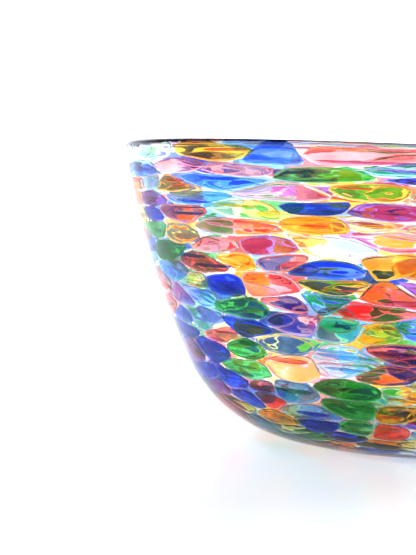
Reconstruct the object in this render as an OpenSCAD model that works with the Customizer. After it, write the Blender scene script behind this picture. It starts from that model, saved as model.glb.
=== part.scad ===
// Mouth-blown art glass bowl. A clear inner gather carries one layer of coloured glass chips, and a thin
// clear casing covers them. Each chip is a separate solid, and the chips of one colour and zone share a node.
// The axis of the bowl is Z, and the bowl stands on z = 0.

/* [Bowl] */
// Outer radius of the wall at the rim
rim_r = 120.5; // [116:0.5:126]
// Height of the bowl over the lip
bowl_h = 117; // [112:1:124]
// Lean of the wall at the rim, from upright
rim_lean = 12; // [10:0.5:14]
// Radius of the arc that the upper wall follows
wall_arc_r = 360; // [340:10:420]
// Radius of the arc that turns the wall into the base
heel_arc_r = 53; // [51:1:56]

/* [Glass layers] */
// Thickness of the clear casing outside the chips
casing_t = 1; // [0.9:0.1:1.3]
// Thickness of the layer of chips
chip_t = 1.5; // [1.2:0.1:1.8]
// Thickness of the whole wall
wall_t = 4; // [3.8:0.1:4.6]
// Thickness of the whole base
base_t = 5; // [4.6:0.1:6]
// Radius of the arc inside the bowl, between floor and wall
inner_heel_arc_r = 49; // [48:0.5:50]
// Radius of the polished pontil hollow under the base
pontil_r = 17; // [12:1:22]
// Depth of the pontil hollow
pontil_depth = 0.5; // [0.3:0.1:0.6]

/* [Chips] */
// Clear seam between one chip and the next
seam = 0.7; // [0.6:0.1:1]
// Clearance of a chip from the glass on both of its faces
chip_clearance = 0.03; // [0.02:0.01:0.05]
// Clear band between the highest chips and the lip
lip_band = 0.4; // [0.3:0.1:2]
// How far a chip strays from its row, as a share of the spacing
stray = 0.4; // [0:0.05:0.45]
// Seed of the random layout
layout_seed = 7; // [1:1:12]

/* [Hidden] */
// Each colour has a name, a colour and its number of chips in a deck, from which the chips are dealt.
COLOURS = [
    ["cobalt", [0.10, 0.14, 0.70], 3],
    ["azure", [0.15, 0.45, 1.00], 2],
    ["aqua", [0.60, 0.88, 1.00], 2],
    ["teal", [0.20, 0.60, 0.72], 1],
    ["emerald", [0.08, 0.58, 0.16], 3],
    ["lime", [0.78, 0.92, 0.35], 2],
    ["yellow", [1.00, 0.88, 0.25], 1],
    ["amber", [1.00, 0.62, 0.05], 3],
    ["coral", [1.00, 0.42, 0.34], 3],
    ["ruby", [0.78, 0.18, 0.20], 2],
    ["violet", [0.40, 0.22, 0.62], 2],
    ["rose", [1.00, 0.74, 0.76], 1],
    ["crystal", [0.95, 0.97, 0.98], 1],
];

// Width and height of a chip, by how far up the profile it lies, from 0 in the middle of the base to 1 at
// the lip. The opening of the bowl on the blowpipe has drawn the chips near the lip out into streaks.
CHIP_WIDTHS = [[0, 10], [0.3, 14], [0.5, 20], [0.8, 27], [1, 42]];
CHIP_HEIGHTS = [[0, 9], [0.3, 8], [0.6, 8.5], [0.85, 7.5], [1, 5]];

// The chips that face the front: the colours of each row, from left to right, and the rows from the lip down.
// A row with fewer chips has longer ones.
FRONT_ROWS = [
    ["crystal", "amber", "cobalt", "coral"],
    ["azure", "coral", "coral", "emerald", "azure"],
    ["aqua", "amber", "azure", "rose", "amber"],
    ["violet", "azure", "lime", "cobalt", "violet"],
    ["cobalt", "ruby", "coral", "amber", "lime"],
    ["emerald", "yellow", "coral", "violet", "crystal", "rose"],
    ["emerald", "ruby", "lime", "coral", "cobalt", "amber"],
    ["azure", "lime", "cobalt", "coral", "amber", "coral"],
    ["violet", "aqua", "emerald", "coral", "azure", "coral"],
    ["cobalt", "teal", "cobalt", "coral", "emerald", "yellow"],
    ["cobalt", "coral", "emerald", "lime", "aqua", "coral"],
    ["violet", "cobalt", "emerald", "rose", "aqua", "ruby"],
    ["cobalt", "cobalt", "ruby", "teal", "emerald", "lime"],
    ["violet", "cobalt", "coral", "azure", "emerald", "amber"],
    ["ruby", "lime", "amber", "cobalt", "emerald", "ruby"],
    ["coral", "teal", "lime", "emerald", "cobalt", "amber"],
];
// Angles around Z between which those rows lie
FRONT = [204, 272];

// Names of the zones, and where the zones of the rim and of the base end, as shares of the profile
ZONES = ["rim", "wall", "base"];
RIM_ZONE = 0.9;
BASE_ZONE = 0.42;

$fn = 256;
BIG = 2 * wall_arc_r;
SHORTEST_EDGE = 0.4;
// How much of an edge is lost to the blunting of the corner at each of its ends
BLUNTING = 0.2;
// Height of a chip's prism, enough to reach through the curved layer at both ends of the longest chip
prism_h = 18;
// The chip in the middle of the base, inside the innermost row
CENTRE_COLOUR = index_of("cobalt");
centre_chip_r = 4;

// The wall follows one large circle, and the heel a smaller one inside it. Each surface of the glass is such
// a pair of circles. A slope is an angle along the profile: 0 on the flat base and 90 on an upright wall.
wall_centre = [rim_r - wall_arc_r * cos(rim_lean), bowl_h + wall_arc_r * sin(rim_lean)];

function heel_centre(floor_z, heel_r, depth) = [
    wall_centre.x + sqrt(pow(wall_arc_r - depth - heel_r, 2) - pow(floor_z + heel_r - wall_centre.y, 2)),
    floor_z + heel_r
];
function slope_of_joint(centre) = atan2(centre.x - wall_centre.x, wall_centre.y - centre.y);
function on_circle(centre, radius, slope) = centre + radius * [sin(slope), -cos(slope)];

// The lip is a half-round bead as thick as the wall.
lip_r = wall_t / 2;
lip_slope = acos((wall_centre.y - bowl_h + lip_r) / (wall_arc_r - lip_r));
casing_slope = lip_slope - lip_band / wall_arc_r * 180 / PI;

pontil_arc_r = (pow(pontil_r, 2) + pow(pontil_depth, 2)) / (2 * pontil_depth);

// The profile runs along the middle of the layer of chips, from the middle of the base to the lip.
chip_depth = casing_t + chip_t / 2;
heel = heel_centre(0, heel_arc_r, 0);
heel_end_slope = slope_of_joint(heel);
heel_r = heel_arc_r - chip_depth;
wall_r = wall_arc_r - chip_depth;
heel_start = heel.x;
wall_start = heel_start + heel_r * heel_end_slope * PI / 180;
chips_end = wall_start + wall_r * (casing_slope - heel_end_slope) * PI / 180 - seam;

function profile_slope(along) =
    along < heel_start ? 0
    : along < wall_start ? (along - heel_start) / heel_r * 180 / PI
    : heel_end_slope + (along - wall_start) / wall_r * 180 / PI;
function profile_point(along) =
    let (slope = profile_slope(along))
    along < heel_start ? [along, chip_depth]
    : along < wall_start ? on_circle(heel, heel_r, slope)
    : on_circle(wall_centre, wall_r, slope);
function along_at_height(z) =
    let (
        on_heel = acos((heel_arc_r - z) / heel_arc_r),
        on_wall = acos((wall_centre.y - z) / wall_arc_r)
    )
    on_heel < heel_end_slope
        ? heel_start + heel_r * on_heel * PI / 180
        : wall_start + wall_r * (on_wall - heel_end_slope) * PI / 180;
function zone_of(along) =
    along > RIM_ZONE * chips_end ? "rim" : along < BASE_ZONE * chips_end ? "base" : "wall";

// The chips are laid out on a flat chart, on which every chip is about as high as it is wide. The chart's x
// is the angle around the bowl, and its y falls from row to row by the angle that one chip takes up.
function chip_width(along) = lookup(along / chips_end, CHIP_WIDTHS);
function chip_height(along) = lookup(along / chips_end, CHIP_HEIGHTS);
function chip_angle(along) = chip_width(along) / profile_point(along).x * 180 / PI;
function rows_from(along, y) =
    along < chips_start + chip_height(along) / 2 ? []
    : concat([[along, y]], rows_from(along - chip_height(along), y - chip_angle(along)));

// Where the chart ends, this far along the profile, and leaves room for the chip in the middle
chips_start = 6;
ROWS = rows_from(chips_end - chip_height(chips_end) / 2, 0);
last_row = ROWS[len(ROWS) - 1];
chart_top = chip_angle(chips_end) / 2;
chart_bottom = last_row.y - chip_angle(last_row.x) / 2;
CHART = concat([[chips_end, chart_top]], ROWS, [[chips_start, chart_bottom]]);
CHART_BACK = [for (mark = CHART) [mark.y, mark.x]];

// Angle from one place on the chart to another, the short way around
function turn(from, to) = (to - from) - 360 * round((to - from) / 360);
function step_between(from, to) = [turn(from.x, to.x), to.y - from.y];

function index_of(name) = [for (i = [0 : len(COLOURS) - 1]) if (COLOURS[i][0] == name) i][0];

// Places on the chart for the chips of a row: evenly from one angle to another, and then strayed
function row_places(row, count, from, to, seed) =
    let (draws = rands(-stray, stray, 2 * count, seed))
    [
        for (k = [0 : count - 1])
            [
                from + (k + 0.5 + draws[2 * k]) * (to - from) / count,
                ROWS[row].y + draws[2 * k + 1] * chip_angle(ROWS[row].x)
            ]
    ];

// The rest of a row runs on from where the front ends, all the way around in a row that has no front.
function rest_of_row(row) =
    let (
        end = FRONT[0] + 360,
        start = row < len(FRONT_ROWS) ? FRONT[1] : FRONT[0],
        count = round((end - start) / chip_angle(ROWS[row].x))
    )
    row_places(row, count, start, end, layout_seed + len(ROWS) + row);
REST = [for (row = [0 : len(ROWS) - 1]) each rest_of_row(row)];

// A deck holds every colour, so every zone gets chips of them all. Ranking a draw for each card shuffles it.
DECK = [for (i = [0 : len(COLOURS) - 1]) for (card = [1 : COLOURS[i][2]]) i];
function rank(draw, draws) = len([for (other = draws) if (other < draw) 1]);
function shuffled_deck(number) =
    let (draws = rands(0, 1, len(DECK), layout_seed + 2 * len(ROWS) + number))
    [for (draw = draws) DECK[rank(draw, draws)]];
DEALT = [for (number = [0 : floor(len(REST) / len(DECK))]) each shuffled_deck(number)];

// Seeds are places on the chart with a colour.
FRONT_SEEDS = [
    for (row = [0 : len(FRONT_ROWS) - 1])
        let (places = row_places(row, len(FRONT_ROWS[row]), FRONT[0], FRONT[1], layout_seed + row))
        for (k = [0 : len(places) - 1])
            [places[k].x, places[k].y, index_of(FRONT_ROWS[row][k])]
];
SEEDS = concat(FRONT_SEEDS, [for (i = [0 : len(REST) - 1]) [REST[i].x, REST[i].y, DEALT[i]]]);
CHIPS = [for (seed = SEEDS) [seed.x, lookup(seed.y, CHART_BACK), seed[2]]];

// What a straight cut through a point leaves of a convex outline, on the side that away points away from
function cut(outline, point, away) = [
    for (i = [0 : 1 : len(outline) - 1])
        let (
            a = outline[i],
            b = outline[(i + 1) % len(outline)],
            over_a = (a - point) * away,
            over_b = (b - point) * away
        )
        each concat(
            over_a <= 0 ? [a] : [],
            over_a * over_b < 0 ? [a + (b - a) * over_a / (over_a - over_b)] : []
        )
];
function cut_halfway(outline, steps, i = 0) =
    i == len(steps) ? outline : cut_halfway(cut(outline, steps[i] / 2, steps[i]), steps, i + 1);
function inset(outline, width, edges, i = 0) =
    i == len(edges) ? outline
    : let (
        a = edges[i],
        b = edges[(i + 1) % len(edges)],
        away = [b.y - a.y, a.x - b.x] / norm(b - a)
    )
    inset(cut(outline, a - width * away, away), width, edges, i + 1);
function without_short_edges(outline) = [
    for (i = [0 : 1 : len(outline) - 1])
        if (norm(outline[i] - outline[(i + 1) % len(outline)]) > SHORTEST_EDGE) outline[i]
];
function blunted(outline) = [
    for (i = [0 : 1 : len(outline) - 1])
        let (a = outline[i], b = outline[(i + 1) % len(outline)])
        each [a + BLUNTING * (b - a), b + BLUNTING * (a - b)]
];

// The share of the chart that is nearer to this chip than to any other, around the chip's own place
function chart_cell(chip) =
    let (
        place = [chip.x, lookup(chip.y, CHART)],
        reach = 1.6 * chip_angle(chip.y),
        steps = [
            for (seed = SEEDS)
                let (step = step_between(place, seed))
                if (norm(step) > 0.001 && norm(step) < 2 * reach) step
        ],
        square = reach * [[-1, -1], [1, -1], [1, 1], [-1, 1]],
        open_cell = cut_halfway(square, steps),
        under_top = cut(open_cell, [0, chart_top - place.y], [0, 1])
    )
    cut(under_top, [0, chart_bottom - place.y], [0, -1]);

// The chip's outline in millimetres, on the plane that touches the wall at its middle
function chip_outline(chip) =
    let (
        middle = profile_point(chip.y),
        slope = profile_slope(chip.y),
        place_y = lookup(chip.y, CHART),
        flat_cell = [
            for (corner = chart_cell(chip))
                let (point = profile_point(lookup(place_y + corner.y, CHART_BACK)))
                [
                    point.x * sin(corner.x),
                    (point.x * cos(corner.x) - middle.x) * cos(slope) + (point.y - middle.y) * sin(slope)
                ]
        ],
        cell = without_short_edges(flat_cell)
    )
    blunted(without_short_edges(inset(cell, seam / 2, cell)));

// The half plane above a line from the middle of the wall circle
module above(slope) {
    translate(wall_centre)
        rotate(slope - 90)
            square(BIG);
}

// All that lies within one surface of the glass, up to a slope of the wall
module within(floor_z, heel_r, depth, top_slope) {
    centre = heel_centre(floor_z, heel_r, depth);
    difference() {
        union() {
            translate([0, floor_z])
                square([centre.x, 2 * heel_r]);
            translate(centre)
                circle(heel_r);
            intersection() {
                translate(wall_centre)
                    circle(wall_arc_r - depth);
                above(slope_of_joint(centre));
            }
        }
        above(top_slope);
        translate([-BIG, -BIG])
            square([BIG, 2 * BIG]);
    }
}

// The surfaces of the layers run parallel to the outside of the bowl. The inside has its own heel and floor.
module layer(depth, top_slope) within(depth, heel_arc_r - depth, depth, top_slope);
module hollow() within(base_t, inner_heel_arc_r, wall_t, 90);

module clear_gather() {
    color([0.90, 0.95, 0.97, 0.4])
        rotate_extrude() {
            difference() {
                union() {
                    layer(casing_t + chip_t, lip_slope);
                    intersection() {
                        layer(0, lip_slope);
                        above(casing_slope);
                    }
                }
                hollow();
            }
            intersection() {
                translate(on_circle(wall_centre, wall_arc_r - lip_r, lip_slope))
                    circle(lip_r);
                above(lip_slope);
            }
        }
}

module clear_casing() {
    color([0.94, 0.97, 1.00, 0.3])
        rotate_extrude()
            difference() {
                layer(0, casing_slope);
                layer(casing_t, 90);
                translate([0, pontil_depth - pontil_arc_r])
                    circle(pontil_arc_r);
            }
}

// The layer of chips before the seams divide it
module chip_layer() {
    rotate_extrude()
        difference() {
            layer(casing_t + chip_clearance, casing_slope);
            layer(casing_t + chip_t - chip_clearance, 90);
        }
}

// A chip's prism stands on its outline, along the normal of the wall at its middle.
module chip_prism(chip) {
    middle = profile_point(chip.y);
    rotate(chip.x)
        translate([middle.x, 0, middle.y])
            rotate([0, 90 - profile_slope(chip.y), 0])
                rotate([90, 0, 90])
                    linear_extrude(height = prism_h, center = true)
                        polygon(chip_outline(chip));
}

// All chips of one colour in one zone
module chips(zone, colour) {
    color(COLOURS[colour][1])
        intersection() {
            chip_layer();
            union() {
                for (chip = CHIPS)
                    if (chip[2] == colour && zone_of(chip.y) == zone)
                        chip_prism(chip);
                if (zone == "base" && colour == CENTRE_COLOUR)
                    cylinder(r = centre_chip_r, h = prism_h);
            }
        }
}

clear_gather();
clear_casing();
for (zone = ZONES)
    for (i = [0 : len(COLOURS) - 1])
        chips(zone, i);
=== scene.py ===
import math

import bpy
import numpy as np
from mathutils import Matrix, Vector, noise


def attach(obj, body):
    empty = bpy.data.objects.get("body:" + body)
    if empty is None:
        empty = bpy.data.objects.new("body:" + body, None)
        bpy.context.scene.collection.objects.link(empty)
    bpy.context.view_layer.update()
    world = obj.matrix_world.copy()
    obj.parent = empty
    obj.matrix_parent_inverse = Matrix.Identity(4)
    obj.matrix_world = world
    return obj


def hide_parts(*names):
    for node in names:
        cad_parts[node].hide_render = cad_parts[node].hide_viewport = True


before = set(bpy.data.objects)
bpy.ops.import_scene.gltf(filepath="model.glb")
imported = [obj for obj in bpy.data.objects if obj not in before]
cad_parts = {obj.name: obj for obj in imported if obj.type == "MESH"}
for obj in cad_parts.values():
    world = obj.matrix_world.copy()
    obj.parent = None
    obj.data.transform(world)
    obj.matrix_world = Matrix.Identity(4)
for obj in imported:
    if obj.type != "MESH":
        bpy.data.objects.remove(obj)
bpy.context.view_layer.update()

MM = 0.001
# Every random choice is drawn from this, in a fixed order. A range of random numbers is (least, most), in mm
# where it is a length. The most is left out of a range of whole numbers.
RNG = np.random.default_rng(11)

# ---- Sizes, as the CAD has them --------------------------------------------------------------------------
RIM_R = 120.5 * MM
BOWL_H = 117 * MM
RIM_LEAN = math.radians(12)
WALL_ARC_R = 360 * MM
HEEL_ARC_R = 53 * MM
CASING_T = 1.0 * MM
CHIP_T = 1.5 * MM
WALL_T = 4.0 * MM
BASE_T = 5.0 * MM
INNER_HEEL_ARC_R = 49 * MM
PONTIL_R = 17 * MM
PONTIL_DEPTH = 0.5 * MM
# The middle of the layer of chips, under the outside of the bowl
CHIP_DEPTH = CASING_T + CHIP_T / 2
# The clear body stays this far inside the outside of the CAD's glass.
SKIN = 0.05 * MM


# ---- Profile ---------------------------------------------------------------------------------------------
# A profile point is (radius, height). A slope is an angle along the profile: 0 on the base, 90 degrees on an
# upright wall.
def heel_centre(floor_z, heel_r, depth):
    """The centre of the arc that leads from a level floor into the wall, at a depth under its outside."""
    height = floor_z + heel_r
    reach = math.sqrt((WALL_ARC_R - depth - heel_r) ** 2 - (height - WALL_CENTRE[1]) ** 2)
    return np.array([WALL_CENTRE[0] + reach, height])


def slope_about(centre, r, z):
    """The slope of an arc about this centre where it passes a profile point."""
    return np.arctan2(r - centre[0], centre[1] - z)


def on_circle(centre, radius, slope):
    """The profile point where an arc has this slope."""
    return np.array([centre[0] + radius * np.sin(slope), centre[1] - radius * np.cos(slope)])


# The centres of the arcs that the upper wall and the heel follow, and the slope where the two meet
WALL_CENTRE = np.array([RIM_R - WALL_ARC_R * math.cos(RIM_LEAN), BOWL_H + WALL_ARC_R * math.sin(RIM_LEAN)])
HEEL = heel_centre(0, HEEL_ARC_R, 0)
HEEL_END = slope_about(WALL_CENTRE, *HEEL)
# The half-round lip: its radius, and the slope of the wall where it starts
LIP_R = WALL_T / 2
LIP_SLOPE = math.acos((WALL_CENTRE[1] - BOWL_H + LIP_R) / (WALL_ARC_R - LIP_R))
# How far the chips reach up inside the lip, and the slope where they end
CHIPS_INTO_LIP = 1.0 * MM
TOP_SLOPE = LIP_SLOPE + CHIPS_INTO_LIP / WALL_ARC_R
# The number of points along each stretch of the profile, from below the bowl over the lip to its floor
PONTIL_POINTS = 7
FOOT_POINTS = 8
HEEL_POINTS = 40
WALL_POINTS = 44
LIP_POINTS = 15
INNER_WALL_POINTS = 60
INNER_HEEL_POINTS = 50
INNER_FLOOR_POINTS = 9
# The least radius that a point counts with where a length is divided by its radius
LEAST_R = 1e-6


def arc(centre, radius, first, last, count):
    """Profile points along an arc, from its first slope to its last."""
    return list(on_circle(centre, radius, np.linspace(first, last, count)).T)


def outer_profile():
    """The skin of the clear glass from the middle of the pontil hollow to the lip."""
    pontil_arc_r = (PONTIL_R**2 + PONTIL_DEPTH**2) / (2 * PONTIL_DEPTH)
    pontil_half = math.asin(PONTIL_R / pontil_arc_r)
    pontil_centre = (0, PONTIL_DEPTH + SKIN - pontil_arc_r)
    return (
        arc(pontil_centre, pontil_arc_r, math.pi, math.pi - pontil_half, PONTIL_POINTS)
        + [np.array([r, SKIN]) for r in np.linspace(PONTIL_R, HEEL[0], FOOT_POINTS)[1:-1]]
        + arc(HEEL, HEEL_ARC_R - SKIN, 0, HEEL_END, HEEL_POINTS)[:-1]
        + arc(WALL_CENTRE, WALL_ARC_R - SKIN, HEEL_END, LIP_SLOPE, WALL_POINTS)[:-1]
    )


def inner_profile():
    """The skin of the clear glass over the lip and down to the middle of the bowl's floor."""
    inner = heel_centre(BASE_T, INNER_HEEL_ARC_R, WALL_T)
    inner_end = slope_about(WALL_CENTRE, *inner)
    lip_centre = on_circle(WALL_CENTRE, WALL_ARC_R - LIP_R, LIP_SLOPE)
    return (
        arc(lip_centre, LIP_R - SKIN, LIP_SLOPE, LIP_SLOPE + math.pi, LIP_POINTS)[:-1]
        + arc(WALL_CENTRE, WALL_ARC_R - WALL_T, LIP_SLOPE, inner_end, INNER_WALL_POINTS)[:-1]
        + arc(inner, INNER_HEEL_ARC_R, inner_end, 0, INNER_HEEL_POINTS)
        + [np.array([r, BASE_T]) for r in np.linspace(inner[0], 0, INNER_FLOOR_POINTS)[1:]]
    )


def layer_points(points, depth):
    """For points near the glass, the nearest ones at a depth under the outside of the bowl."""
    r = np.hypot(points[:, 0], points[:, 1])
    on_wall = np.minimum(slope_about(WALL_CENTRE, r, points[:, 2]), TOP_SLOPE)
    wall = on_circle(WALL_CENTRE, WALL_ARC_R - depth, on_wall)
    heel = on_circle(HEEL, HEEL_ARC_R - depth, slope_about(HEEL, r, points[:, 2]))
    base = np.array([r, np.broadcast_to(depth, r.shape)])
    found = np.where(on_wall > HEEL_END, wall, np.where(r > HEEL[0], heel, base))
    spread = found[0] / np.maximum(r, LEAST_R)
    return np.stack([points[:, 0] * spread, points[:, 1] * spread, found[1]], axis=1)


# ---- Meshes and outlines ---------------------------------------------------------------------------------
# The decimals of a metre to which two corners of a CAD solid, or two points of an outline, are the same
CORNER_DECIMALS = 5
OUTLINE_DECIMALS = 6
# The share of a side that is cut off at each of its ends to round an outline
CORNER_CUT = 0.25


class Shape:
    """The points, faces and material numbers of a piece, as it grows."""

    def __init__(self):
        self.points = []
        self.faces = []
        self.materials = []

    def ring(self, points):
        """Adds points, and gives their numbers."""
        start = len(self.points)
        self.points += [tuple(p) for p in points]
        return list(range(start, len(self.points)))

    def band(self, first, second, flip, material=0):
        """Adds the faces between two rings, or between a ring and a single point."""
        count = len(first)
        for i in range(count):
            j = (i + 1) % count
            across = (second[j], second[i]) if len(second) > 1 else (second[0],)
            face = (first[i], first[j], *across)
            self.faces.append(face[::-1] if flip else face)
            self.materials.append(material)


def new_piece(name, shape, materials):
    """The object for a shape, riding on the bowl's body."""
    mesh = bpy.data.meshes.new(name)
    mesh.from_pydata(shape.points, [], shape.faces)
    for material in materials:
        mesh.materials.append(material)
    mesh.polygons.foreach_set("material_index", shape.materials)
    mesh.polygons.foreach_set("use_smooth", [True] * len(shape.faces))
    piece = bpy.data.objects.new(name, mesh)
    bpy.context.collection.objects.link(piece)
    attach(piece, "root")
    return piece


def islands(name):
    """The corner points of each separate solid of a CAD node."""
    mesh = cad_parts[name].data
    points = np.empty(3 * len(mesh.vertices))
    mesh.vertices.foreach_get("co", points)
    edges = np.empty(2 * len(mesh.edges), dtype=int)
    mesh.edges.foreach_get("vertices", edges)
    # The faces of a solid share the places of their corners, but not the corners.
    corners = np.round(points.reshape(-1, 3), CORNER_DECIMALS)
    places, place_of = np.unique(corners, axis=0, return_inverse=True)
    first, second = place_of.ravel()[edges].reshape(-1, 2).T
    group = np.arange(len(places))
    while True:
        joined = group.copy()
        np.minimum.at(joined, first, group[second])
        np.minimum.at(joined, second, group[first])
        joined = joined[joined]
        if (joined == group).all():
            break
        group = joined
    return [places[group == g] for g in np.unique(group)]


def convex_outline(points):
    """The convex outline around flat points, anticlockwise."""
    ordered = sorted(set(map(tuple, np.round(points, OUTLINE_DECIMALS))))

    def half(places):
        chain = []
        for p in places:
            while len(chain) > 1:
                a, b = chain[-2:]
                if (b[0] - a[0]) * (p[1] - a[1]) - (b[1] - a[1]) * (p[0] - a[0]) > 0:
                    break
                chain.pop()
            chain.append(p)
        return chain[:-1]

    return np.array(half(ordered) + half(ordered[::-1]))


def rounded(outline, passes):
    """The outline with its corners cut off again and again."""
    for _ in range(passes):
        after = np.roll(outline, -1, axis=0)
        near = (1 - CORNER_CUT) * outline + CORNER_CUT * after
        far = CORNER_CUT * outline + (1 - CORNER_CUT) * after
        outline = np.stack([near, far], axis=1).reshape(-1, 2)
    return outline


def spaced(outline, count):
    """The closed outline as so many points, evenly spaced along it."""
    closed = np.vstack([outline, outline[:1]])
    along = np.concatenate([[0], np.cumsum(np.linalg.norm(np.diff(closed, axis=0), axis=1))])
    wanted = np.linspace(0, along[-1], count, endpoint=False)
    return np.stack([np.interp(wanted, along, closed[:, i]) for i in (0, 1)], axis=1)


def full_turn(count):
    """So many angles, evenly spaced around a circle."""
    return np.linspace(0, 2 * math.pi, count, endpoint=False)


# ---- Chips -----------------------------------------------------------------------------------------------
# The material numbers in a piece of chips
CHIP, STREAK, VEIL = 0, 1, 2

# A chip: the points of its outline, its rings from the edge to near the middle, and how often its corners
# are cut
OUTLINE_POINTS = 24
RING_SCALES = (1.0, 0.965, 0.89, 0.72, 0.4)
CORNER_CUTS = (0, 2)
# How far its lens reaches into the seam around its CAD solid, or over the seam into the next chip
GROWTH = (0.0, 0.5)
# The waver of its edge: its usual height as a share of the chip's reach, its waves around the chip, and the
# angle at which they start
WAVER = 0.05
WAVES = (2, 5)
WAVES_START = (0, 6)
# Its thickness as a share of the layer's, and the widths in mm that its rounded edge can have
THICKNESS = (0.6, 0.98)
EDGE_WIDTHS = (0.7, 1.1, 2.6)
# A chip whose middle is this near to the height of the lip is drawn up into it, by this factor.
NEAR_LIP = 8 * MM
LIP_DRAW = 2.2

# A streak is a thin oval of another colour in a chip, which can reach past the chip's edge. Its size and
# offset are shares of the chip's reach around the bowl and up it, its thickness and its shift in depth are
# shares of the chip's, and its edge is this many times as wide as half its thickness.
STREAKS = (0, 3)
STREAK_SCALES = (1.0, 0.9, 0.6)
STREAK_SIZE = ((0.3, 0.06), (0.8, 0.26))
STREAK_OFFSET = ((-0.4, -0.6), (0.4, 0.6))
STREAK_THICKNESS = 0.35
STREAK_SHIFT = (-0.3, 0.3)
STREAK_EDGE = 3

# A veil is the thin film that this share of the chips trail beside them, in the inner half of the wall.
VEIL_SHARE = 0.7
VEIL_SIZE = ((0.6, 0.5), (1.2, 1.1))
VEIL_OFFSET = ((-1.0, -0.8), (1.0, 0.8))
VEIL_T = 0.6 * MM
VEIL_DEPTH = 3.05 * MM
VEIL_EDGE = 4 * MM


class Patch:
    """The plane that touches the layer of chips at one chip's middle."""

    def __init__(self, points):
        self.middle = layer_points(points.mean(axis=0)[None], CHIP_DEPTH)[0]
        x, y, z = self.middle
        r = math.hypot(x, y)
        slope = slope_about(WALL_CENTRE, r, z)
        if slope < HEEL_END:
            slope = slope_about(HEEL, r, z) if r > HEEL[0] else 0.0
        angle = math.atan2(y, x)
        self.around = np.array([-math.sin(angle), math.cos(angle), 0])
        self.upward = np.array(
            [math.cos(slope) * math.cos(angle), math.cos(slope) * math.sin(angle), math.sin(slope)]
        )

    def flatten(self, points):
        """The points as they lie on the plane: (around the bowl, up it)."""
        from_middle = points - self.middle
        return np.stack([from_middle @ self.around, from_middle @ self.upward], axis=1)

    def place(self, flat, depth):
        """The flat points back in the wall, at a depth under the outside of the bowl."""
        on_plane = self.middle + np.outer(flat[:, 0], self.around) + np.outer(flat[:, 1], self.upward)
        return layer_points(on_plane, depth)


def lens(shape, patch, outline, half_thickness, edge, depth, scales, material):
    """Adds a closed lens: rings from a sharp edge to the middle, on both sides."""
    middle = outline.mean(axis=0)
    reach = np.linalg.norm(outline - middle, axis=1)
    rim = shape.ring(patch.place(outline, depth))
    for side in (-1, 1):
        previous = rim
        for scale in scales[1:]:
            inward = np.minimum((1 - scale) * reach / edge, 1)
            rise = side * half_thickness * np.sqrt(1 - (1 - inward) ** 2)
            ring = shape.ring(patch.place(middle + scale * (outline - middle), depth + rise))
            shape.band(previous, ring, side > 0, material)
            previous = ring
        tip = shape.ring(patch.place(middle[None], depth + side * half_thickness))
        shape.band(previous, tip, side > 0, material)


def chip_outline(flat_points):
    """The outline of a chip, with rounded corners and a slight waver in its edges."""
    outline = spaced(rounded(convex_outline(flat_points), RNG.integers(*CORNER_CUTS)), OUTLINE_POINTS)
    middle = outline.mean(axis=0)
    reach = np.linalg.norm(outline - middle, axis=1)
    height = WAVER * RNG.standard_normal()
    waves = RNG.integers(*WAVES)
    waver = 1 + height * np.sin(waves * full_turn(OUTLINE_POINTS) + RNG.uniform(*WAVES_START))
    growth = RNG.uniform(*GROWTH) * MM
    return middle + (outline - middle) * (waver + growth / reach)[:, None]


def oval(chip, size, offset):
    """An oval near a chip, its size and its offset given as shares of the chip's own reach each way."""
    middle = chip.mean(axis=0)
    spread = np.abs(chip - middle).max(axis=0)
    turns = full_turn(OUTLINE_POINTS // 2)
    return middle + spread * (offset + size * np.stack([np.cos(turns), np.sin(turns)], axis=1))


def add_streak(shape, patch, outline, chip_half):
    """A streak in a chip of this outline and half thickness."""
    streak = oval(outline, RNG.uniform(*STREAK_SIZE), RNG.uniform(*STREAK_OFFSET))
    half = STREAK_THICKNESS * chip_half
    depth = CHIP_DEPTH + RNG.uniform(*STREAK_SHIFT) * chip_half
    lens(shape, patch, streak, half, STREAK_EDGE * half, depth, STREAK_SCALES, STREAK)


def add_veil(shape, patch, outline):
    """A veil beside a chip of this outline."""
    veil = oval(outline, RNG.uniform(*VEIL_SIZE), RNG.uniform(*VEIL_OFFSET))
    lens(shape, patch, veil, VEIL_T / 2, VEIL_EDGE, VEIL_DEPTH, RING_SCALES, VEIL)


def chip_piece(node, colour):
    """One piece for a CAD node of chips: each chip as a lens, with its streaks and its veil."""
    shape = Shape()
    for solid in islands(node):
        patch = Patch(solid)
        outline = chip_outline(patch.flatten(solid))
        if patch.middle[2] > BOWL_H - NEAR_LIP:
            outline[:, 1] *= np.where(outline[:, 1] > 0, LIP_DRAW, 1)
        half = CHIP_T / 2 * RNG.uniform(*THICKNESS)
        edge = RNG.choice(EDGE_WIDTHS) * MM
        lens(shape, patch, outline, half, edge, CHIP_DEPTH, RING_SCALES, CHIP)
        for _ in range(RNG.integers(*STREAKS)):
            add_streak(shape, patch, outline, half)
        if RNG.random() < VEIL_SHARE:
            add_veil(shape, patch, outline)
    materials = [CHIP_MATERIALS[colour], STREAK_MATERIALS[STREAK_OF[colour]], VEIL_MATERIALS[colour]]
    piece = new_piece(node + "_lenses", shape, materials)
    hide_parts(node)


# ---- Clear body ------------------------------------------------------------------------------------------
# The points of each ring of the clear body
AROUND = 256
# The ripple of the inside: its height, its cells per metre, and the number of rings over which it begins
RIPPLE = 0.3 * MM
RIPPLE_SCALE = 55
RIPPLE_START = 24
# The seed bubbles: how many, their depth under the outside, their radius, the slopes of the wall between
# which they lie, and the rings and sides of each
BUBBLES = 110
BUBBLE_DEPTH = (2.9, 3.5)
BUBBLE_R = (0.16, 0.36)
BUBBLE_SLOPES = (HEEL_END * 0.5, LIP_SLOPE - 0.02)
BUBBLE_RINGS = 5
BUBBLE_SIDES = 8


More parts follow.
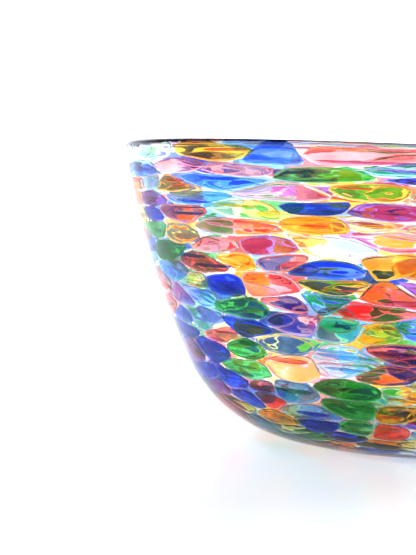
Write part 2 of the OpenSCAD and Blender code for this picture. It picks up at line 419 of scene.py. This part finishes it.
def add_bubble(shape, middle, radius):
    """A seed bubble: a round hole in the glass, so its faces look inwards."""
    turns = full_turn(BUBBLE_SIDES)
    circle = np.stack([np.cos(turns), np.sin(turns), np.zeros(BUBBLE_SIDES)], axis=1)
    up = np.array([0, 0, radius])
    top = shape.ring([middle + up])
    previous = None
    for lean in np.linspace(0, math.pi, BUBBLE_RINGS + 1)[1:-1]:
        ring = shape.ring(middle + radius * math.sin(lean) * circle + math.cos(lean) * up)
        if previous is None:
            shape.band(ring, top, True)
        else:
            shape.band(previous, ring, False)
        previous = ring
    shape.band(previous, shape.ring([middle - up]), False)


def add_bubbles(shape):
    """The seed bubbles of blown glass, spread over the wall between the chips and the inside."""
    turns = RNG.uniform(0, 2 * math.pi, BUBBLES)
    slopes = RNG.uniform(*BUBBLE_SLOPES, BUBBLES)
    for turn, slope in zip(turns, slopes):
        depth = RNG.uniform(*BUBBLE_DEPTH) * MM
        if slope > HEEL_END:
            r, z = on_circle(WALL_CENTRE, WALL_ARC_R - depth, slope)
        else:
            r, z = on_circle(HEEL, HEEL_ARC_R - depth, slope)
        middle = np.array([r * math.cos(turn), r * math.sin(turn), z])
        add_bubble(shape, middle, RNG.uniform(*BUBBLE_R) * MM)


def clear_body():
    """The clear glass, turned from its profile, with the gentle ripple of blown glass on its inside."""
    outer = outer_profile()
    profile = outer + inner_profile()
    turns = full_turn(AROUND)
    shape = Shape()
    previous = shape.ring([(0, 0, profile[0][1])])
    for row, (r, z) in enumerate(profile[1:-1], start=1):
        circle = np.stack([r * np.cos(turns), r * np.sin(turns), np.full(AROUND, z)], axis=1)
        fade = min(max(row - len(outer), 0) / RIPPLE_START, 1)
        if fade > 0:
            ripple = np.array([noise.noise(Vector(p) * RIPPLE_SCALE) for p in circle])
            circle[:, :2] *= 1 + (fade * RIPPLE * ripple / r)[:, None]
        ring = shape.ring(circle)
        if row == 1:
            shape.band(ring, previous, True)
        else:
            shape.band(previous, ring, False)
        previous = ring
    shape.band(previous, shape.ring([(0, 0, profile[-1][1])]), False)
    add_bubbles(shape)
    piece = new_piece("clear_glass_body", shape, [clear_glass()])
    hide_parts("clear_gather", "clear_casing")


# ---- Materials -------------------------------------------------------------------------------------------
# The light that a whole chip of each colour lets through, where its colour is full
GLASS_COLOURS = {
    "cobalt": (0.011, 0.06, 0.64),
    "azure": (0.15, 0.47, 0.98),
    "aqua": (0.52, 0.82, 0.99),
    "teal": (0.12, 0.42, 0.60),
    "emerald": (0.03, 0.40, 0.06),
    "lime": (0.84, 0.82, 0.32),
    "yellow": (0.99, 0.76, 0.18),
    "amber": (0.99, 0.39, 0.008),
    "coral": (0.99, 0.20, 0.19),
    "ruby": (0.82, 0.075, 0.065),
    "violet": (0.38, 0.12, 0.50),
    "rose": (0.98, 0.52, 0.56),
    "crystal": (0.97, 0.985, 0.99),
}
# The colour of the streaks in each, which is another of the colours above
STREAK_OF = {
    "cobalt": "azure",
    "azure": "cobalt",
    "aqua": "azure",
    "teal": "emerald",
    "emerald": "teal",
    "lime": "amber",
    "yellow": "coral",
    "amber": "ruby",
    "coral": "violet",
    "ruby": "cobalt",
    "violet": "ruby",
    "rose": "coral",
    "crystal": "aqua",
}
WHITE = (1, 1, 1)
BLACK = (0, 0, 0)
CLEAR_TINT = (0.985, 0.993, 0.996, 1)
GLASS_IOR = 1.5
# The step from clear glass to a chip is slight, so a chip bends light only a little.
CHIP_IOR = 1.04

# The grain of coloured glass: its cells per metre around the bowl and up it, where its colour begins, and
# where it is full
GRAIN_CELLS = (45, 45, 190)
GRAIN_BEGINS = 0.38
GRAIN_FULL = 0.70
# Chips differ: each takes its grain from another place, up to this many metres off, and adds up to this much.
GRAIN_PLACES = 3.0
GRAIN_LIFT = 0.22
# The share of the full colour that the volume and the grain take away together, where the grain is full
TAKEN_AWAY = 1.1
# The cells per metre of the fine ripple on the clear glass, around the bowl and up it
RIPPLE_CELLS = (50, 50, 130)

FLOOR_TONES = ((0.73, 0.755, 0.77), (0.77, 0.795, 0.81))
FLOOR_GLOW = (0.95, 0.99, 1.0, 1)


def node_tree(name):
    """A new material and its node tree, which is empty."""
    material = bpy.data.materials.new(name)
    material.use_nodes = True
    tree = material.node_tree
    tree.nodes.clear()
    return material, tree


def feed(tree, socket, value):
    """Links the socket to another one, or sets it to a value."""
    if isinstance(value, bpy.types.NodeSocket):
        tree.links.new(value, socket)
    else:
        socket.default_value = value


def add_node(tree, kind, settings=None, **inputs):
    """A node with its settings, and its inputs by name, each a socket to link to or a value."""
    node = tree.nodes.new(kind)
    for key, value in (settings or {}).items():
        setattr(node, key, value)
    for key, value in inputs.items():
        feed(tree, node.inputs[key.replace("_", " ")], value)
    return node


def arithmetic(tree, operation, first, second):
    """The output of a Math node on two sockets or numbers."""
    node = add_node(tree, "ShaderNodeMath", {"operation": operation})
    feed(tree, node.inputs[0], first)
    feed(tree, node.inputs[1], second)
    return node.outputs[0]


def vector_maths(tree, operation, first, second):
    """The outputs of a Vector Math node on two sockets or vectors."""
    node = add_node(tree, "ShaderNodeVectorMath", {"operation": operation})
    feed(tree, node.inputs[0], first)
    feed(tree, node.inputs[1], second)
    return node.outputs


def colour_ramp(tree, factor, *stops):
    """The colour output of a ramp between (position, colour) stops."""
    node = add_node(tree, "ShaderNodeValToRGB", Fac=factor)
    elements = node.color_ramp.elements
    while len(elements) < len(stops):
        elements.new(0.5)
    for element, (position, colour) in zip(elements, stops):
        element.position = position
        element.color = (*colour, 1)
    return node.outputs["Color"]


def absorb(tree, colour, depth):
    """Volume absorption that leaves this colour of white light after this depth of glass."""
    loss = -np.log(np.array(colour)) / depth
    density = float(loss.max())
    tint = (*(1 - loss / density), 1)
    return add_node(tree, "ShaderNodeVolumeAbsorption", Color=tint, Density=density).outputs[0]


def power(colour, exponent):
    """The colour made deeper, by an exponent over 1, or paler, by one under 1."""
    return tuple(c**exponent for c in colour)


def coloured_glass(name, colour, share):
    """Glass that is coloured right through, with a drawn-out grain in which its colour is fuller.

    Its volume takes away this share of its full colour. Its grain takes away the rest and a little more, half
    of it at each of the two faces that light passes.
    """
    material, tree = node_tree(name)
    place = add_node(tree, "ShaderNodeTexCoord").outputs["Object"]
    chance = add_node(tree, "ShaderNodeNewGeometry").outputs["Random Per Island"]
    shifted = vector_maths(tree, "ADD", place, arithmetic(tree, "MULTIPLY", chance, GRAIN_PLACES))[0]
    drawn_out = add_node(tree, "ShaderNodeMapping", Vector=shifted, Scale=GRAIN_CELLS).outputs[0]
    grain = add_node(
        tree, "ShaderNodeTexNoise", Vector=drawn_out, Scale=1.0, Detail=2.5, Distortion=0.4
    ).outputs["Fac"]
    fullness = arithmetic(tree, "ADD", grain, arithmetic(tree, "MULTIPLY", chance, GRAIN_LIFT))
    deepest = power(colour, (TAKEN_AWAY - share) / 2)
    tint = colour_ramp(tree, fullness, (GRAIN_BEGINS, WHITE), (GRAIN_FULL, deepest))
    surface = add_node(
        tree, "ShaderNodeBsdfPrincipled",
        Base_Color=tint, Roughness=0.0, IOR=CHIP_IOR, Transmission_Weight=1.0,
    )
    output = add_node(tree, "ShaderNodeOutputMaterial", Surface=surface.outputs[0])
    feed(tree, output.inputs["Volume"], absorb(tree, power(colour, share), CHIP_T))
    return material


def all_colours(prefix, exponent, share):
    """A coloured glass for each colour, made deeper or paler by the exponent."""
    return {
        name: coloured_glass(prefix + name, power(colour, exponent), share)
        for name, colour in GLASS_COLOURS.items()
    }


def clear_glass():
    """Clear soda glass, polished by fire, with a fine ripple."""
    material, tree = node_tree("clear_glass")
    place = add_node(tree, "ShaderNodeTexCoord").outputs["Object"]
    drawn_out = add_node(tree, "ShaderNodeMapping", Vector=place, Scale=RIPPLE_CELLS).outputs[0]
    ripple = add_node(tree, "ShaderNodeTexNoise", Vector=drawn_out, Scale=1.0, Detail=2.0).outputs["Fac"]
    bump = add_node(tree, "ShaderNodeBump", Height=ripple, Strength=0.3, Distance=0.6 * MM)
    surface = add_node(
        tree, "ShaderNodeBsdfPrincipled",
        Base_Color=CLEAR_TINT, Roughness=0.0, IOR=GLASS_IOR, Transmission_Weight=1.0,
        Normal=bump.outputs[0],
    )
    add_node(tree, "ShaderNodeOutputMaterial", Surface=surface.outputs[0])
    return material


def floor_material():
    """A pale, slightly glossy floor that glows faintly, as a lit table does."""
    material, tree = node_tree("pale_floor")
    place = add_node(tree, "ShaderNodeTexCoord").outputs["Object"]
    grain = add_node(tree, "ShaderNodeTexNoise", Vector=place, Scale=40.0, Detail=3.0).outputs["Fac"]
    tone = colour_ramp(tree, grain, (0.0, FLOOR_TONES[0]), (1.0, FLOOR_TONES[1]))
    surface = add_node(
        tree, "ShaderNodeBsdfPrincipled",
        Base_Color=tone, Roughness=0.36, IOR=1.4, Emission_Color=FLOOR_GLOW, Emission_Strength=0.42,
    )
    add_node(tree, "ShaderNodeOutputMaterial", Surface=surface.outputs[0])
    return material


CHIP_MATERIALS = all_colours("glass_", exponent=1.0, share=0.45)
STREAK_MATERIALS = all_colours("streak_", exponent=1.5, share=0.7)
VEIL_MATERIALS = all_colours("veil_", exponent=0.5, share=0.6)


# ---- Floor, light and camera -----------------------------------------------------------------------------
# Half the side of the floor, in metres
FLOOR_HALF = 5.0
TENT_STRENGTH = 1.35
# The slight blue of all the light
COOLNESS = (0.97, 0.98, 1.10)
# The brightness of the tent by height, from level with the bowl, at 0, to straight above it, at 1
SLOPES = (1.25, 1.25, 1.27)
OPEN_TOP = (0.20, 0.20, 0.21)
TENT_BY_HEIGHT = ((0.2, WHITE), (0.35, SLOPES), (0.75, SLOPES), (0.94, OPEN_TOP))
# The share of it that is left by side, from in front of the bowl, at 0, to behind it, at 1
FRONT = (0.15, 0.15, 0.155)
SIDES = (0.16, 0.16, 0.165)
TENT_BY_SIDE = ((0.15, FRONT), (0.5, SIDES), (0.78, SIDES), (0.93, WHITE))
# The share that is left at the least, by height, so that the tent is white at eye level all around
EYE_LEVEL = ((0.12, WHITE), (0.3, BLACK))
# The lamp behind the tent's cloth: the direction that it lies in, and its glow from its edge to its middle
LAMP_DIRECTION = Vector((0.62, 0.55, 0.56)).normalized()
LAMP_GLOW = ((0.93, BLACK), (0.985, (4.0, 4.0, 3.9)))

# The camera stands a little under the height of the rim. Its turns are in degrees, its lens and sensor in mm.
CAMERA_PLACE = (0, -0.6, 98.85 * MM)
CAMERA_YAW = 7.99
CAMERA_PITCH = -3.47
CAMERA_ROLL = 2.64
CAMERA_LENS = 93.99
CAMERA_SENSOR = 36
CAMERA_CLIP = 0.01

# Light passes many layers of glass.
LIGHT_BOUNCES = 48


def floor():
    """A wide level floor."""
    corners = [(x * FLOOR_HALF, y * FLOOR_HALF, 0) for x, y in ((-1, -1), (1, -1), (1, 1), (-1, 1))]
    mesh = bpy.data.meshes.new("floor")
    mesh.from_pydata(corners, [], [(0, 1, 2, 3)])
    mesh.materials.append(floor_material())
    piece = bpy.data.objects.new("floor", mesh)
    bpy.context.collection.objects.link(piece)


def studio_light():
    """A white tent: even at eye level, and above that bright behind the bowl and dim everywhere else."""
    world = bpy.data.worlds.new("white_tent")
    bpy.context.scene.world = world
    world.use_nodes = True
    tree = world.node_tree
    tree.nodes.clear()
    direction = add_node(tree, "ShaderNodeTexCoord").outputs["Generated"]
    parts = add_node(tree, "ShaderNodeSeparateXYZ", Vector=direction).outputs
    by_height = colour_ramp(tree, parts["Z"], *TENT_BY_HEIGHT)
    # From -1 in front of the bowl and 1 behind it to 0 and 1
    backward = arithmetic(tree, "ADD", arithmetic(tree, "MULTIPLY", parts["Y"], 0.5), 0.5)
    by_side = colour_ramp(tree, backward, *TENT_BY_SIDE)
    at_eye_level = colour_ramp(tree, parts["Z"], *EYE_LEVEL)
    share = vector_maths(tree, "MAXIMUM", by_side, at_eye_level)[0]
    cloth = vector_maths(tree, "MULTIPLY", by_height, share)[0]
    towards_lamp = vector_maths(tree, "DOT_PRODUCT", direction, LAMP_DIRECTION)["Value"]
    lit_cloth = vector_maths(tree, "ADD", cloth, colour_ramp(tree, towards_lamp, *LAMP_GLOW))[0]
    cool = vector_maths(tree, "MULTIPLY", lit_cloth, COOLNESS)[0]
    tent = add_node(tree, "ShaderNodeBackground", Color=cool, Strength=TENT_STRENGTH)
    add_node(tree, "ShaderNodeOutputWorld", Surface=tent.outputs[0])


def camera():
    """The camera, which looks past the left half of the bowl."""
    data = bpy.data.cameras.new("camera")
    eye = bpy.data.objects.new("camera", data)
    bpy.context.collection.objects.link(eye)
    data.sensor_fit = "VERTICAL"
    data.sensor_height = CAMERA_SENSOR
    data.lens = CAMERA_LENS
    data.clip_start = CAMERA_CLIP
    eye.matrix_world = (
        Matrix.Translation(CAMERA_PLACE)
        @ Matrix.Rotation(math.radians(CAMERA_YAW), 4, "Z")
        @ Matrix.Rotation(math.radians(90) + math.radians(CAMERA_PITCH), 4, "X")
        @ Matrix.Rotation(math.radians(CAMERA_ROLL), 4, "Z")
    )
    bpy.context.scene.camera = eye


floor()
studio_light()
camera()
clear_body()
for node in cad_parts:
    if "_chips_" in node:
        chip_piece(node, node.split("_chips_")[1])

scene = bpy.context.scene
scene.view_settings.view_transform = "Standard"
scene.view_settings.look = "High Contrast"
scene.cycles.max_bounces = LIGHT_BOUNCES
scene.cycles.transmission_bounces = LIGHT_BOUNCES
scene.cycles.transparent_max_bounces = LIGHT_BOUNCES
